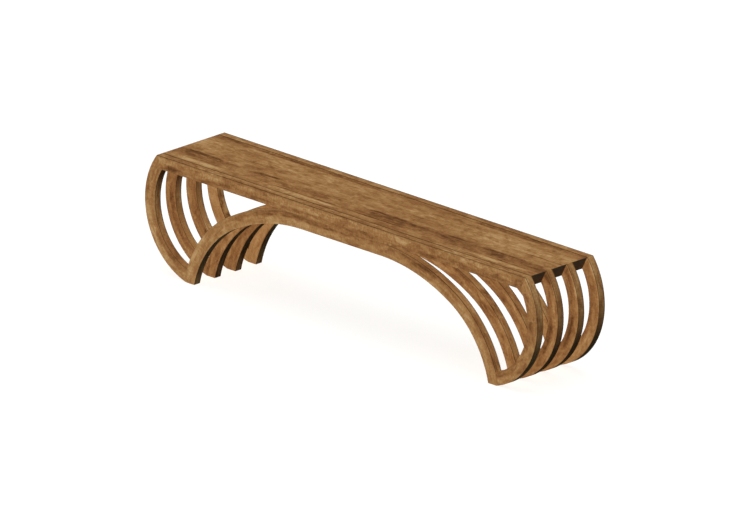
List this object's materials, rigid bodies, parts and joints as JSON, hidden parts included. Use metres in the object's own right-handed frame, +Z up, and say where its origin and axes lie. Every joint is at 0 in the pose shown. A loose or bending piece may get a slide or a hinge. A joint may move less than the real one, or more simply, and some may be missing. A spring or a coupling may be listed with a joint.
{
  "type": "wooden bench",
  "caption": "Long backless wooden bench: a flat glued-up seat on curved ribs, each with round end bows and an arch running from foot to foot.",
  "frame": {"origin": "on the floor, under the middle of the seat", "axes": "+X along the seat, +Y from front to back, +Z up"},
  "size_m": [2, 0.345, 0.45],
  "materials": {
    "seat_wood": "oiled brown hardwood with lengthwise streaks, satin",
    "outer_rib_wood": "oiled golden brown hardwood, mottled, satin",
    "inner_rib_wood": "oiled reddish brown hardwood, mottled, satin",
    "joint_wood": "bare beech",
    "plug_wood": "oiled brown hardwood, cut flush",
    "screw_steel": "plain zinc-plated steel"
  },
  "bodies": {
    "root": {"foot_tenons": "joint_wood", "front_arch": "outer_rib_wood", "front_left_bow": "outer_rib_wood", "front_rail": "outer_rib_wood", "front_right_bow": "outer_rib_wood", "mid_front_arch": "inner_rib_wood", "mid_front_left_bow": "inner_rib_wood", "mid_front_right_bow": "inner_rib_wood", "mid_rear_arch": "inner_rib_wood", "mid_rear_left_bow": "inner_rib_wood", "mid_rear_right_bow": "inner_rib_wood", "mitre_tenons": "joint_wood", "rear_arch": "outer_rib_wood", "rear_left_bow": "outer_rib_wood", "rear_rail": "outer_rib_wood", "rear_right_bow": "outer_rib_wood", "screw_plugs": "plug_wood", "seat_board_front": "seat_wood", "seat_board_mid_front": "seat_wood", "seat_board_mid_rear": "seat_wood", "seat_board_rear": "seat_wood", "seat_screws": "screw_steel", "tongue_centre": "joint_wood", "tongue_front": "joint_wood", "tongue_front_rail": "joint_wood", "tongue_rear": "joint_wood", "tongue_rear_rail": "joint_wood"}
  },
  "joints": []
}
